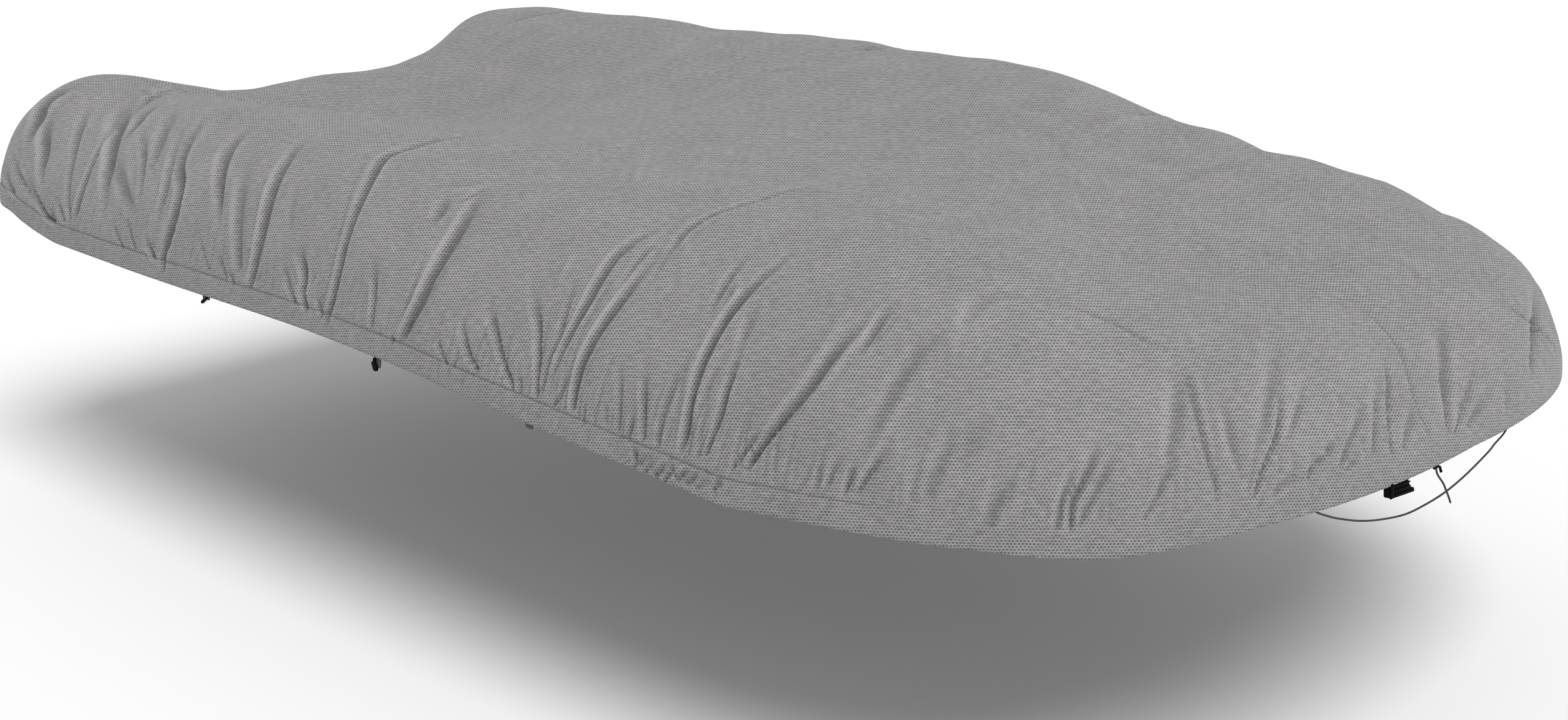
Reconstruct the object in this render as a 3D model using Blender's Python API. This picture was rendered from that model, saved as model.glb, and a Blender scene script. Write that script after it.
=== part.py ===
"""A fitted cloth cover for a small flat boat, 2.86 m long and 1.65 m wide.

The cloth is one piece. It lies in a low saddle between two humps at the square
stern, runs over a slightly crowned deck, and falls down a rounded wall to a hem
that follows the boat's outline to a blunt bow. Folds fan up from the hem where
ties and the drawcord pull on it. The boat itself is not part of the model.

Metres. +X points to the bow, +Z up. The origin is under the middle of the top.
"Along" is the distance round the hem from the middle of the stern to the bow tip,
the same on the right side (-Y) and the left side (+Y). "Up" is the distance up
the cloth from the hem.
"""

import math

import bmesh
import bpy
import numpy as np
from mathutils import Matrix, Vector
from mathutils.bvhtree import BVHTree

RIGHT, LEFT = -1, 1

# The outline of the hem, seen from above.
LENGTH = 2.86
HALF_BEAM = 0.827
HALF_STERN = 0.751
STERN_CORNER_RADIUS = 0.16
BOW_START = 2.06
BOW_BLUNTNESS = 2.75
BOW_SIDE_BLUNTNESS = 2.36

# The middle line that the top runs in to, from the stern, and its height over the hem.
MIDDLE_START = 0.45
MIDDLE_END = 2.15
MIDDLE_FROM_STERN = (0.0, 0.40, 0.90, 1.40, 1.90, 2.30)
MIDDLE_HEIGHT = (0.244, 0.172, 0.228, 0.283, 0.285, 0.258)

CLOTH = 0.0025
SEAT_GAP = 0.0003
MOUNT_FROM_STERN = LENGTH / 2
MOUNT_HEIGHT = 0.280

# share of the way round, wall's lean, shoulder height right, left, wall's roundness
WALL = (
    (0.00, 0.139, 0.214, 0.214, 2.15),
    (0.10, 0.170, 0.222, 0.225, 2.30),
    (0.17, 0.195, 0.281, 0.302, 2.58),
    (0.24, 0.225, 0.270, 0.320, 2.27),
    (0.34, 0.202, 0.301, 0.320, 2.16),
    (0.45, 0.208, 0.299, 0.337, 2.15),
    (0.56, 0.272, 0.293, 0.341, 1.89),
    (0.66, 0.316, 0.293, 0.287, 1.85),
    (0.76, 0.336, 0.292, 0.250, 1.99),
    (0.86, 0.373, 0.228, 0.217, 2.37),
    (1.00, 0.403, 0.200, 0.200, 1.97),
)

# along, height of the hem's edge over its level
HEM = (
    (0.00, -0.004),
    (0.40, -0.011),
    (0.70, 0.021),
    (0.98, 0.034),
    (1.27, 0.027),
    (1.82, 0.029),
    (2.05, 0.023),
    (2.30, 0.007),
    (2.53, -0.009),
    (2.74, -0.023),
    (2.83, -0.029),
    (2.92, -0.023),
    (3.08, -0.018),
    (3.22, -0.019),
    (3.37, -0.026),
    (3.50, -0.016),
    (3.63, -0.001),
    (3.81, 0.007),
    (4.08, 0.014),
)

# The main folds of the right side. Each is a trough between two soft ridges.
# foot along, foot up, middle along, middle up, top along, top up, half width, depth
FOLDS = (
    (1.04, 0.05, 0.94, 0.09, 0.85, 0.16, 0.022, 0.008),
    (0.90, 0.13, 0.84, 0.23, 0.74, 0.34, 0.026, 0.012),
    (1.08, 0.05, 1.05, 0.15, 0.90, 0.29, 0.024, 0.011),
    (1.09, 0.04, 1.13, 0.12, 1.12, 0.21, 0.022, 0.007),
    (1.22, 0.06, 1.16, 0.19, 0.98, 0.33, 0.024, 0.012),
    (1.19, 0.20, 1.15, 0.27, 1.07, 0.36, 0.022, 0.010),
    (1.40, 0.02, 1.46, 0.14, 1.37, 0.32, 0.024, 0.012),
    (1.60, 0.10, 1.56, 0.20, 1.49, 0.33, 0.022, 0.008),
    (1.69, 0.04, 1.73, 0.16, 1.67, 0.32, 0.024, 0.012),
    (1.87, 0.03, 1.85, 0.08, 1.79, 0.14, 0.022, 0.008),
    (1.92, 0.01, 1.94, 0.24, 1.84, 0.44, 0.026, 0.013),
    (2.04, 0.04, 2.03, 0.10, 2.02, 0.18, 0.022, 0.006),
    (2.12, 0.04, 2.17, 0.17, 2.12, 0.34, 0.024, 0.009),
    (2.39, 0.03, 2.35, 0.10, 2.30, 0.18, 0.022, 0.007),
    (2.46, 0.04, 2.49, 0.16, 2.47, 0.32, 0.024, 0.011),
    (2.52, 0.05, 2.54, 0.15, 2.56, 0.27, 0.022, 0.009),
    (2.59, 0.22, 2.54, 0.40, 2.52, 0.62, 0.030, 0.008),
    (2.75, 0.04, 2.74, 0.17, 2.76, 0.31, 0.026, 0.013),
    (2.71, 0.22, 2.70, 0.30, 2.68, 0.40, 0.024, 0.008),
    (2.82, 0.07, 2.81, 0.19, 2.78, 0.33, 0.024, 0.010),
    (2.88, 0.06, 2.99, 0.21, 3.04, 0.36, 0.026, 0.012),
    (3.03, 0.08, 3.08, 0.20, 3.12, 0.34, 0.026, 0.007),
    (3.16, 0.33, 3.33, 0.42, 3.53, 0.29, 0.028, 0.007),
    (3.55, 0.06, 3.54, 0.16, 3.52, 0.28, 0.028, 0.008),
    (3.61, 0.05, 3.67, 0.13, 3.77, 0.26, 0.028, 0.008),
    (4.02, 0.04, 3.96, 0.12, 3.94, 0.24, 0.028, 0.006),
)
# The left side has the deeper folds of the right side, moved along it, and two
# wide dips across its shoulder at the bow.
LEFT_FOLD_DEPTH = 0.010
LEFT_FOLD_SHIFT = 0.07
DIPS = (
    (2.83, 0.26, 2.83, 0.38, 2.83, 0.56, 0.060, 0.016),
    (3.24, 0.16, 3.24, 0.27, 3.24, 0.42, 0.050, 0.016),
)
FOLD_STEPS = 16
FOLD_RISE = 0.18
FOLD_FADE = 0.45
RIDGE_OFFSET = 1.8
RIDGE_WIDTH = 0.9
RIDGE_HEIGHT = 0.45

# The mesh: columns are closer together where the folds are. Shares of the wall's
# quarter turn, then shares of the way from the shoulder to the middle line.
COLUMN_STRETCHES = ((0.00, 0.66, 11), (0.66, 3.20, 72), (3.20, 4.08, 19))
WALL_ROWS = (0.0, 0.10, 0.24, 0.38, 0.52, 0.66, 0.82, 1.0)
TOP_ROWS = (0.14, 0.32, 0.54, 0.78, 1.0)

# Webbing tabs sewn inside the hem, on both sides: along, width, drop below the hem.
TABS = (
    (1.545, 0.022, 0.009),
    (2.052, 0.015, 0.017),
    (2.425, 0.016, 0.008),
)
TAB_THICKNESS = 0.0016
TAB_OVERLAP = 0.022
TAB_CORNER = 0.002
# The first two tabs carry a hook, its outline across and down from the hem's edge.
TOGGLE = (
    (-0.0100, 0.0150),
    (-0.0085, 0.0115),
    (0.0040, 0.0035),
    (0.0080, 0.0035),
    (0.0085, 0.0065),
    (-0.0050, 0.0165),
    (-0.0085, 0.0175),
)
PRONG = (
    (-0.0070, 0.0010),
    (-0.0025, 0.0010),
    (-0.0020, 0.0080),
    (0.0040, 0.0150),
    (0.0045, 0.0200),
    (0.0010, 0.0230),
    (-0.0050, 0.0220),
    (-0.0110, 0.0110),
    (-0.0100, 0.0080),
    (-0.0070, 0.0080),
)
HOOKS = (TOGGLE, PRONG)
HOOK_THICKNESS = 0.005
HOOK_EDGE = 0.0010

# The buckle at the bow, tucked behind the hem, and the strap that holds it.
BUCKLE_ALONG = 3.883
BUCKLE_THICKNESS = 0.009
BUCKLE_EDGE = 0.0015
BUCKLE = (
    (-0.024, -0.006),
    (0.021, -0.006),
    (0.026, 0.013),
    (0.036, 0.018),
    (0.031, 0.023),
    (-0.016, 0.021),
    (-0.026, 0.017),
)
STRAP_WIDTH = 0.025
STRAP_TOP = -0.036

# The elbow that ends the drawcord's channel, its line across and down from the hem.
ELBOW_ALONG = 3.975
ELBOW_THICKNESS = 0.004
ELBOW = (
    (-0.0090, 0.0023),
    (-0.0020, 0.0023),
    (0.0040, 0.0024),
    (0.0070, 0.0045),
    (0.0080, 0.0080),
    (0.0095, 0.0125),
)

# The drawcord hangs in a slack loop from inside the hem, round the bow tip.
CORD_THICKNESS = 0.003
CORD_STEP = 0.0075
CORD_ROUTE = (
    (1.3786, -0.3695, -0.2620),
    (1.3798, -0.3673, -0.2700),
    (1.3825, -0.3600, -0.2790),
    (1.3880, -0.3420, -0.2880),
    (1.3940, -0.3180, -0.2975),
    (1.4030, -0.2740, -0.3110),
    (1.4110, -0.2270, -0.3200),
    (1.4180, -0.1720, -0.3260),
    (1.4220, -0.1220, -0.3245),
    (1.4240, -0.0790, -0.3210),
    (1.4250, -0.0460, -0.3160),
    (1.4250, 0.0000, -0.3070),
    (1.4250, 0.0560, -0.2920),
    (1.4240, 0.0800, -0.2840),
    (1.4235, 0.1040, -0.2770),
    (1.4227, 0.1170, -0.2700),
    (1.4212, 0.1220, -0.2610),
)
# The cord's free tail, from under the elbow.
TAIL_ROUTE = (
    (1.4270, -0.1080, -0.2734),
    (1.4278, -0.1077, -0.2780),
    (1.4297, -0.1058, -0.2835),
    (1.4318, -0.1012, -0.2900),
    (1.4330, -0.0950, -0.2970),
    (1.4330, -0.0860, -0.3080),
    (1.4330, -0.0760, -0.3210),
    (1.4330, -0.0670, -0.3340),
)

CLOTH_GREY = (0.36, 0.35, 0.34)
WEBBING_GREY = (0.06, 0.06, 0.06)
PLASTIC_BLACK = (0.008, 0.008, 0.009)
CORD_GREY = (0.09, 0.09, 0.09)


def eased(table_x, table_y, x):
    """The smooth curve through a table's points, with no bump between them."""
    xs, ys = np.array(table_x, float), np.array(table_y, float)
    step = np.diff(xs)
    slope = np.diff(ys) / step
    tangent = np.zeros(len(xs))
    before, after = 2 * step[1:] + step[:-1], step[1:] + 2 * step[:-1]
    rising = slope[1:] * slope[:-1] > 0
    safe = np.where(slope == 0, 1.0, slope)
    both = np.where(rising, before / safe[:-1] + after / safe[1:], 1.0)
    tangent[1:-1] = np.where(rising, (before + after) / both, 0.0)
    tangent[0], tangent[-1] = slope[0], slope[-1]
    x = np.clip(np.asarray(x, float), xs[0], xs[-1])
    i = np.clip(np.searchsorted(xs, x) - 1, 0, len(step) - 1)
    t = (x - xs[i]) / step[i]
    start = (1 + 2 * t) * (1 - t) ** 2 * ys[i] + t * (1 - t) ** 2 * step[i] * tangent[i]
    end = t * t * (3 - 2 * t) * ys[i + 1] + t * t * (t - 1) * step[i] * tangent[i + 1]
    return start + end


def hem_outline():
    """Half of the hem's outline from the stern's middle to the bow tip, and the
    distance along it of each of its points."""
    flat = np.linspace(0, HALF_STERN - STERN_CORNER_RADIUS, 60)[:-1]
    transom = np.stack([0 * flat, flat], 1)
    turn = np.linspace(0, math.pi / 2, 80)[:-1]
    corner_x = STERN_CORNER_RADIUS * (1 - np.cos(turn))
    corner_y = HALF_STERN - STERN_CORNER_RADIUS * (1 - np.sin(turn))
    corner = np.stack([corner_x, corner_y], 1)
    x = np.linspace(STERN_CORNER_RADIUS, BOW_START, 200)[:-1]
    widening = np.sin(math.pi / 2 * (x - STERN_CORNER_RADIUS) / (BOW_START - STERN_CORNER_RADIUS))
    side = np.stack([x, HALF_STERN + (HALF_BEAM - HALF_STERN) * widening], 1)
    turn = np.linspace(0, math.pi / 2, 600)
    bow_x = BOW_START + (LENGTH - BOW_START) * np.sin(turn) ** (2 / BOW_BLUNTNESS)
    bow_y = HALF_BEAM * np.cos(turn) ** (2 / BOW_SIDE_BLUNTNESS)
    points = np.vstack([transom, corner, side, np.stack([bow_x, bow_y], 1)])
    runs = np.linalg.norm(np.diff(points, axis=0), axis=1)
    return points, np.concatenate([[0], np.cumsum(runs)])


OUTLINE, OUTLINE_ALONG = hem_outline()
HALF_ROUND = OUTLINE_ALONG[-1]


def smooth_cloth(along, side, wall_rows, top_rows):
    """The cloth without its folds, as rows of points from the hem to the middle
    line, and how far up the cloth each point is."""
    share, lean, right, left, roundness = np.array(WALL).T
    here = np.asarray(along, float) / HALF_ROUND
    hem = np.stack([np.interp(along, OUTLINE_ALONG, OUTLINE[:, k]) for k in (0, 1)], 1)
    middle = np.stack([np.clip(hem[:, 0], MIDDLE_START, MIDDLE_END), 0 * here], 1)
    reach = np.linalg.norm(middle - hem, axis=1)
    inward = (middle - hem) / reach[:, None]
    lean = eased(share, lean, here)
    shoulder = eased(share, right if side == RIGHT else left, here)
    power = 2 / eased(share, roundness, here)
    edge = eased(*np.array(HEM).T, along)
    top = eased(MIDDLE_FROM_STERN, MIDDLE_HEIGHT, middle[:, 0])
    rows = []
    for row in wall_rows:
        turn = math.pi / 2 * row
        inset = lean * (1 - abs(math.cos(turn)) ** power)
        height = edge + (shoulder - edge) * math.sin(turn) ** power
        rows.append(np.column_stack([hem + inward * inset[:, None], height]))
    for row in top_rows:
        inset = lean + (reach - lean) * row
        height = shoulder + (top - shoulder) * row * row * (3 - 2 * row)
        rows.append(np.column_stack([hem + inward * inset[:, None], height]))
    points = np.array(rows)
    points[..., 1] *= side
    points -= (MOUNT_FROM_STERN, 0, MOUNT_HEIGHT)
    runs = np.linalg.norm(np.diff(points, axis=0), axis=2)
    up = np.vstack([np.zeros(len(here)), np.cumsum(runs, axis=0)])
    return points, up


def on_cloth(along, up, side):
    """The point of the smooth cloth at a distance along the hem and up from it."""
    rows = np.linspace(0, 1, 41)
    points, height = smooth_cloth([along], side, rows, rows[1:])
    return np.array([np.interp(up, height[:, 0], points[:, 0, k]) for k in range(3)])


def fold_line(fold, side):
    """The bottom of a fold's trough: points through its foot, middle and top."""
    foot, middle, top = (np.array(fold[k : k + 2]) for k in (0, 2, 4))
    bend = 2 * middle - (foot + top) / 2
    line = []
    for t in np.linspace(0, 1, FOLD_STEPS):
        along, up = (1 - t) ** 2 * foot + 2 * t * (1 - t) * bend + t * t * top
        line.append(on_cloth(along, up, side))
    return np.array(line)


def step_up(t):
    t = np.clip(t, 0, 1)
    return t * t * (3 - 2 * t)


def fold_push(points, fold, side):
    """How far one fold moves each point out along the cloth's normal."""
    half_width, depth = fold[6:]
    line = fold_line(fold, side)
    start, run = line[:-1], np.diff(line, axis=0)
    offset = points[:, None] - start[None]
    t = np.clip((offset * run).sum(2) / (run * run).sum(1), 0, 1)
    apart = np.linalg.norm(offset - t[..., None] * run, axis=2)
    nearest = apart.argmin(1)
    pick = np.arange(len(points))
    away = apart[pick, nearest] / half_width
    share = (nearest + t[pick, nearest]) / len(run)
    strength = step_up(share / FOLD_RISE) * step_up((1 - share) / (1 - FOLD_FADE))
    ridge = RIDGE_HEIGHT * np.exp(-(((away - RIDGE_OFFSET) / RIDGE_WIDTH) ** 2))
    return depth * strength * (ridge - np.exp(-(away**2)))


def all_folds():
    """Every fold with its side."""
    folds = [(fold, RIGHT) for fold in FOLDS]
    for fold in FOLDS:
        if fold[7] >= LEFT_FOLD_DEPTH:
            moved = list(fold)
            for k in (0, 2, 4):
                moved[k] = min(fold[k] + LEFT_FOLD_SHIFT, HALF_ROUND)
            folds.append((moved, LEFT))
    return folds + [(dip, LEFT) for dip in DIPS]


def material(name, colour, roughness):
    made = bpy.data.materials.new(name)
    made.use_nodes = True
    shader = made.node_tree.nodes["Principled BSDF"]
    shader.inputs["Base Color"].default_value = (*colour, 1)
    shader.inputs["Roughness"].default_value = roughness
    shader.inputs["Metallic"].default_value = 0
    return made


def add_object(name, points, faces, finish):
    mesh = bpy.data.meshes.new(name)
    mesh.from_pydata([tuple(p) for p in points], [], faces)
    made = bpy.data.objects.new(name, mesh)
    bpy.context.collection.objects.link(made)
    mesh.materials.append(finish)
    return made


def cloth_mesh():
    """The points and faces of the cloth's outer side, round the hem from the
    stern down the right side and back up the left."""
    stretches = [np.linspace(a, b, n + 1)[:-1] for a, b, n in COLUMN_STRETCHES]
    along = np.concatenate(stretches + [[HALF_ROUND]])
    right, _ = smooth_cloth(along, RIGHT, WALL_ROWS, TOP_ROWS)
    left, _ = smooth_cloth(along, LEFT, WALL_ROWS, TOP_ROWS)
    rings = np.concatenate([right[:-1], left[:-1, -2:0:-1]], axis=1)
    ring_count, around = rings.shape[:2]
    points = [tuple(p) for ring in rings for p in ring]
    middle = []
    for p in right[-1]:
        if not middle or abs(points[middle[-1]][0] - p[0]) > 1e-6:
            points.append(tuple(p))
            middle.append(len(points) - 1)
        else:
            middle.append(middle[-1])
    middle += middle[-2:0:-1]
    faces = []
    for j in range(around):
        k = (j + 1) % around
        for r in range(ring_count - 1):
            low, high = r * around, (r + 1) * around
            faces.append((low + j, low + k, high + k, high + j))
        last = (ring_count - 1) * around
        top = [middle[k], middle[j]] if middle[k] != middle[j] else [middle[j]]
        faces.append((last + j, last + k, *top))
    return np.array(points), faces


def build_cover(finish):
    points, faces = cloth_mesh()
    cover = add_object("cover", points, faces, finish)
    mesh = cover.data
    normals = np.array([v.normal for v in mesh.vertices])
    push = sum(fold_push(points, fold, side) for fold, side in all_folds())
    mesh.vertices.foreach_set("co", (points + normals * push[:, None]).ravel())
    mesh.update()
    mesh.shade_smooth()
    sheet = cover.modifiers.new("Thickness", "SOLIDIFY")
    sheet.thickness = CLOTH
    sheet.offset = -1
    return cover


def surface_of(obj):
    """A tree of the object's finished surface, for seating pieces against it."""
    return BVHTree.FromObject(obj, bpy.context.evaluated_depsgraph_get())


def rim_axes(cover, along, side):
    """The middle of the hem's outer edge at a place, and the axes of a piece there:
    X along the hem to the right as seen from outside, Y into the boat, Z up."""
    stretches = [np.linspace(a, b, n + 1)[:-1] for a, b, n in COLUMN_STRETCHES]
    columns = np.concatenate(stretches + [[HALF_ROUND]])
    around = 2 * (len(columns) - 1)
    k = int(np.searchsorted(columns, along)) - 1
    share = (along - columns[k]) / (columns[k + 1] - columns[k])
    first, second = (k, k + 1) if side == RIGHT else ((around - k) % around, around - k - 1)
    vertices = cover.data.vertices
    low = [vertices[i].co for i in (first, second)]
    high = [vertices[i + around].co for i in (first, second)]
    edge = low[0].lerp(low[1], share)
    across = ((low[1] - low[0]) * -side).normalized()
    rise = high[0].lerp(high[1], share) - edge
    inward = across.cross(-rise).normalized()
    axes = Matrix((across, inward, across.cross(inward))).transposed()
    return edge, axes


def place(piece, edge, axes, depth):
    """Stand a piece on a place of the hem, a distance in from its outer face."""
    piece.matrix_world = Matrix.Translation(edge + axes.col[1] * depth) @ axes.to_4x4()


def seat(piece, tree, axes):
    """Move a piece that lies inside the cloth out until the gap is SEAT_GAP."""
    outward = -axes.col[1]
    corners = [piece.matrix_world @ v.co for v in piece.data.vertices]
    front = [p for p in corners if (p - piece.location) @ outward > -TAB_THICKNESS]
    gaps = []
    for p in front:
        for q in front:
            for t in (0.0, 0.25, 0.5):
                start = p.lerp(q, t) - outward * 0.02
                hit = tree.ray_cast(start, outward, 0.06)
                if hit[0]:
                    gaps.append(hit[3] - 0.02)
    piece.location += outward * (min(gaps) - SEAT_GAP)


def plate(name, outline, thickness, bevel, finish):
    """A flat piece in X and Z with its front face at Y = 0 and its back at Y =
    thickness. The outline gives each point's place across and down."""
    mesh = bmesh.new()
    front = [mesh.verts.new((across, 0, -down)) for across, down in outline]
    face = mesh.faces.new(front)
    back = bmesh.ops.extrude_face_region(mesh, geom=[face])["geom"]
    for v in back:
        if isinstance(v, bmesh.types.BMVert):
            v.co.y = thickness
    bmesh.ops.recalc_face_normals(mesh, faces=mesh.faces)
    data = bpy.data.meshes.new(name)
    mesh.to_mesh(data)
    mesh.free()
    made = bpy.data.objects.new(name, data)
    bpy.context.collection.objects.link(made)
    data.materials.append(finish)
    if bevel:
        edges = made.modifiers.new("Edges", "BEVEL")
        edges.width = bevel
        edges.segments = 1
        edges.limit_method = "ANGLE"
    return made


def build_tie(cover, tree, number, side, webbing, plastic):
    """A webbing tab inside the hem, with its hook in front of it if it has one."""
    along, width, drop = TABS[number]
    hand = "right" if side == RIGHT else "left"
    half = width / 2
    corner = TAB_CORNER
    outline = (
        (-half, -TAB_OVERLAP),
        (half, -TAB_OVERLAP),
        (half, drop - corner),
        (half - corner, drop),
        (corner - half, drop),
        (-half, drop - corner),
    )
    tab = plate(f"tie_tab_{hand}_{number + 1}", outline, TAB_THICKNESS, 0, webbing)
    edge, axes = rim_axes(cover, along, side)
    place(tab, edge, axes, CLOTH + SEAT_GAP)
    bpy.context.view_layer.update()
    seat(tab, tree, axes)
    if number < len(HOOKS):
        outline = [(across * -side, down) for across, down in HOOKS[number]]
        hook = plate(f"tie_hook_{hand}_{number + 1}", outline, HOOK_THICKNESS, HOOK_EDGE, plastic)
        hook.matrix_world = tab.matrix_world
        hook.location = tab.location - axes.col[1] * (HOOK_THICKNESS + SEAT_GAP)


def tube(name, points, thickness, finish):
    """A round cord or rod on a line of points."""
    curve = bpy.data.curves.new(name, "CURVE")
    curve.dimensions = "3D"
    curve.bevel_depth = thickness / 2
    curve.bevel_resolution = 2
    curve.use_fill_caps = True
    line = curve.splines.new("POLY")
    line.points.add(len(points) - 1)
    for point, place_at in zip(line.points, points):
        point.co = (*place_at, 1)
    made = bpy.data.objects.new(name, curve)
    bpy.context.collection.objects.link(made)
    curve.materials.append(finish)
    return made


def smooth_line(route, step):
    """Evenly spaced points on a smooth curve through a route's own points."""
    route = np.array(route)
    before = 2 * route[0] - route[1]
    after = 2 * route[-1] - route[-2]
    points = np.vstack([before, route, after])
    fine = []
    for k in range(1, len(points) - 2):
        a, b, c, d = points[k - 1 : k + 3]
        for t in np.linspace(0, 1, 12, endpoint=False):
            bend = 2 * a - 5 * b + 4 * c - d
            twist = 3 * b - a - 3 * c + d
            fine.append(b + 0.5 * ((c - a) * t + bend * t * t + twist * t**3))
    fine = np.array(fine + [route[-1]])
    runs = np.concatenate([[0], np.cumsum(np.linalg.norm(np.diff(fine, axis=0), axis=1))])
    even = np.linspace(0, runs[-1], max(int(round(runs[-1] / step)), 2) + 1)
    return np.stack([np.interp(even, runs, fine[:, k]) for k in range(3)], 1)


def build_bow_fittings(cover, tree, webbing, plastic, cord):
    edge, axes = rim_axes(cover, BUCKLE_ALONG, RIGHT)
    buckle = plate("bow_buckle", BUCKLE, BUCKLE_THICKNESS, BUCKLE_EDGE, plastic)
    place(buckle, edge, axes, CLOTH + SEAT_GAP)
    half = STRAP_WIDTH / 2
    end = BUCKLE[0][1] - SEAT_GAP
    outline = ((-half, STRAP_TOP), (half, STRAP_TOP), (half, end), (-half, end))
    strap = plate("bow_strap", outline, TAB_THICKNESS, 0, webbing)
    place(strap, edge, axes, CLOTH + SEAT_GAP)
    bpy.context.view_layer.update()
    for piece in (buckle, strap):
        seat(piece, tree, axes)
    edge, axes = rim_axes(cover, ELBOW_ALONG, RIGHT)
    line = [edge + axes @ Vector((across, CLOTH / 2, -down)) for across, down in ELBOW]
    tube("bow_elbow", smooth_line(line, ELBOW_THICKNESS), ELBOW_THICKNESS, plastic)
    tube("hem_cord", smooth_line(CORD_ROUTE, CORD_STEP), CORD_THICKNESS, cord)
    tube("cord_tail", smooth_line(TAIL_ROUTE, CORD_STEP), CORD_THICKNESS, cord)


def main():
    for old in list(bpy.data.objects):
        bpy.data.objects.remove(old, do_unlink=True)
    cloth = material("cloth", CLOTH_GREY, 0.85)
    webbing = material("webbing", WEBBING_GREY, 0.8)
    plastic = material("plastic", PLASTIC_BLACK, 0.45)
    cord = material("cord", CORD_GREY, 0.75)
    cover = build_cover(cloth)
    bpy.context.view_layer.update()
    tree = surface_of(cover)
    for side in (RIGHT, LEFT):
        for number in range(len(TABS)):
            build_tie(cover, tree, number, side, webbing, plastic)
    build_bow_fittings(cover, tree, webbing, plastic, cord)


main()
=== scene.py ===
"""The looks of a fitted cloth cover for a small flat boat: its finely creased cloth,
the stitched hem, the webbing ties and their hooks, the bow buckle and the drawcord,
with a floor, soft studio light and a camera.

Metres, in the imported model's frame: +X points to the bow, +Z up, the right side is -Y.
"Round" is the distance round the hem from the middle of the stern, along the right
side to the bow tip and back along the left side. "Up" is the distance up the cloth
from the hem's edge.
"""

import math

import bpy
import numpy as np
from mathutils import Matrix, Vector
from numpy.linalg import norm


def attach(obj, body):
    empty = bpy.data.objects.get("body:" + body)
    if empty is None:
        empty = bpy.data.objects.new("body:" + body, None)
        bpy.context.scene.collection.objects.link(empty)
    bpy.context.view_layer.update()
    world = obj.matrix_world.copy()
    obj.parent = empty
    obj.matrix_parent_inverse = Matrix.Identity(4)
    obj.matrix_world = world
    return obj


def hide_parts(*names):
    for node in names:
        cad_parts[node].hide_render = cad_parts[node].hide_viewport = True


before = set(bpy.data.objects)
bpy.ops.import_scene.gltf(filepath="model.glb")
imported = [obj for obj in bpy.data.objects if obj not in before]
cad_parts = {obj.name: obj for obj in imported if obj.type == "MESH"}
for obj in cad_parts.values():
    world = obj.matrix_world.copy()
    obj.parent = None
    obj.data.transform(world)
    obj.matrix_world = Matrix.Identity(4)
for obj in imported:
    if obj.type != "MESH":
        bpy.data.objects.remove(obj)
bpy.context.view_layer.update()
RANDOM = np.random.default_rng(11)
seeded = RANDOM.uniform
TURN = 2 * math.pi

# ---- camera

CAMERA_PLACE = (2.877, -3.065, 0.864)
CAMERA_TILT = math.radians(72.84)
CAMERA_TURN = math.radians(42.38)
CAMERA_LENS = 54.515
SENSOR_WIDTH = 36.0

# ---- cords

CORD_THICKNESS = 0.003
CORD_STEP = 0.0040
ROUTE_STEPS = 12
CORD_ROUTE = (
    (1.3786, -0.3695, -0.2620),
    (1.3798, -0.3673, -0.2700),
    (1.3825, -0.3600, -0.2790),
    (1.3880, -0.3420, -0.2880),
    (1.3940, -0.3180, -0.2975),
    (1.4030, -0.2740, -0.3110),
    (1.4110, -0.2270, -0.3200),
    (1.4180, -0.1720, -0.3260),
    (1.4220, -0.1220, -0.3245),
    (1.4240, -0.0790, -0.3210),
    (1.4250, -0.0460, -0.3160),
    (1.4250, 0.0000, -0.3070),
    (1.4250, 0.0560, -0.2920),
    (1.4240, 0.0800, -0.2840),
    (1.4235, 0.1040, -0.2770),
    (1.4227, 0.1170, -0.2700),
    (1.4212, 0.1220, -0.2610),
)
TAIL_ROUTE = (
    (1.4270, -0.1080, -0.2734),
    (1.4278, -0.1077, -0.2780),
    (1.4297, -0.1058, -0.2835),
    (1.4318, -0.1012, -0.2900),
    (1.4330, -0.0950, -0.2970),
    (1.4330, -0.0860, -0.3080),
    (1.4330, -0.0760, -0.3210),
    (1.4330, -0.0670, -0.3340),
)

# ---- cloth sizes

RIGHT, LEFT = -1, 1
LENGTH = 2.86
HALF_BEAM = 0.827
HALF_STERN = 0.751
STERN_CORNER_RADIUS = 0.16
BOW_START = 2.06
BOW_BLUNTNESS = 2.75
BOW_SIDE_BLUNTNESS = 2.36
TRANSOM_POINTS = 60
CORNER_POINTS = 80
SIDE_POINTS = 200
BOW_POINTS = 600
MIDDLE_START = 0.45
MIDDLE_END = 2.15
MIDDLE_FROM_STERN = (0.0, 0.40, 0.90, 1.40, 1.90, 2.30)
MIDDLE_HEIGHT = (0.244, 0.155, 0.228, 0.283, 0.285, 0.258)
CLOTH = 0.0025
MOUNT_FROM_STERN = LENGTH / 2
MOUNT_HEIGHT = 0.280

# Share of the way round, wall's lean, shoulder height right, left, wall's roundness.
WALL = (
    (0.00, 0.147, 0.218, 0.218, 1.98),
    (0.10, 0.192, 0.226, 0.228, 1.90),
    (0.17, 0.188, 0.282, 0.302, 2.03),
    (0.24, 0.229, 0.272, 0.320, 2.18),
    (0.34, 0.202, 0.301, 0.320, 2.16),
    (0.45, 0.208, 0.299, 0.337, 2.15),
    (0.56, 0.272, 0.293, 0.341, 1.89),
    (0.66, 0.316, 0.293, 0.287, 1.85),
    (0.76, 0.336, 0.292, 0.250, 1.99),
    (0.86, 0.373, 0.228, 0.217, 2.37),
    (1.00, 0.403, 0.200, 0.200, 1.97),
)

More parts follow.
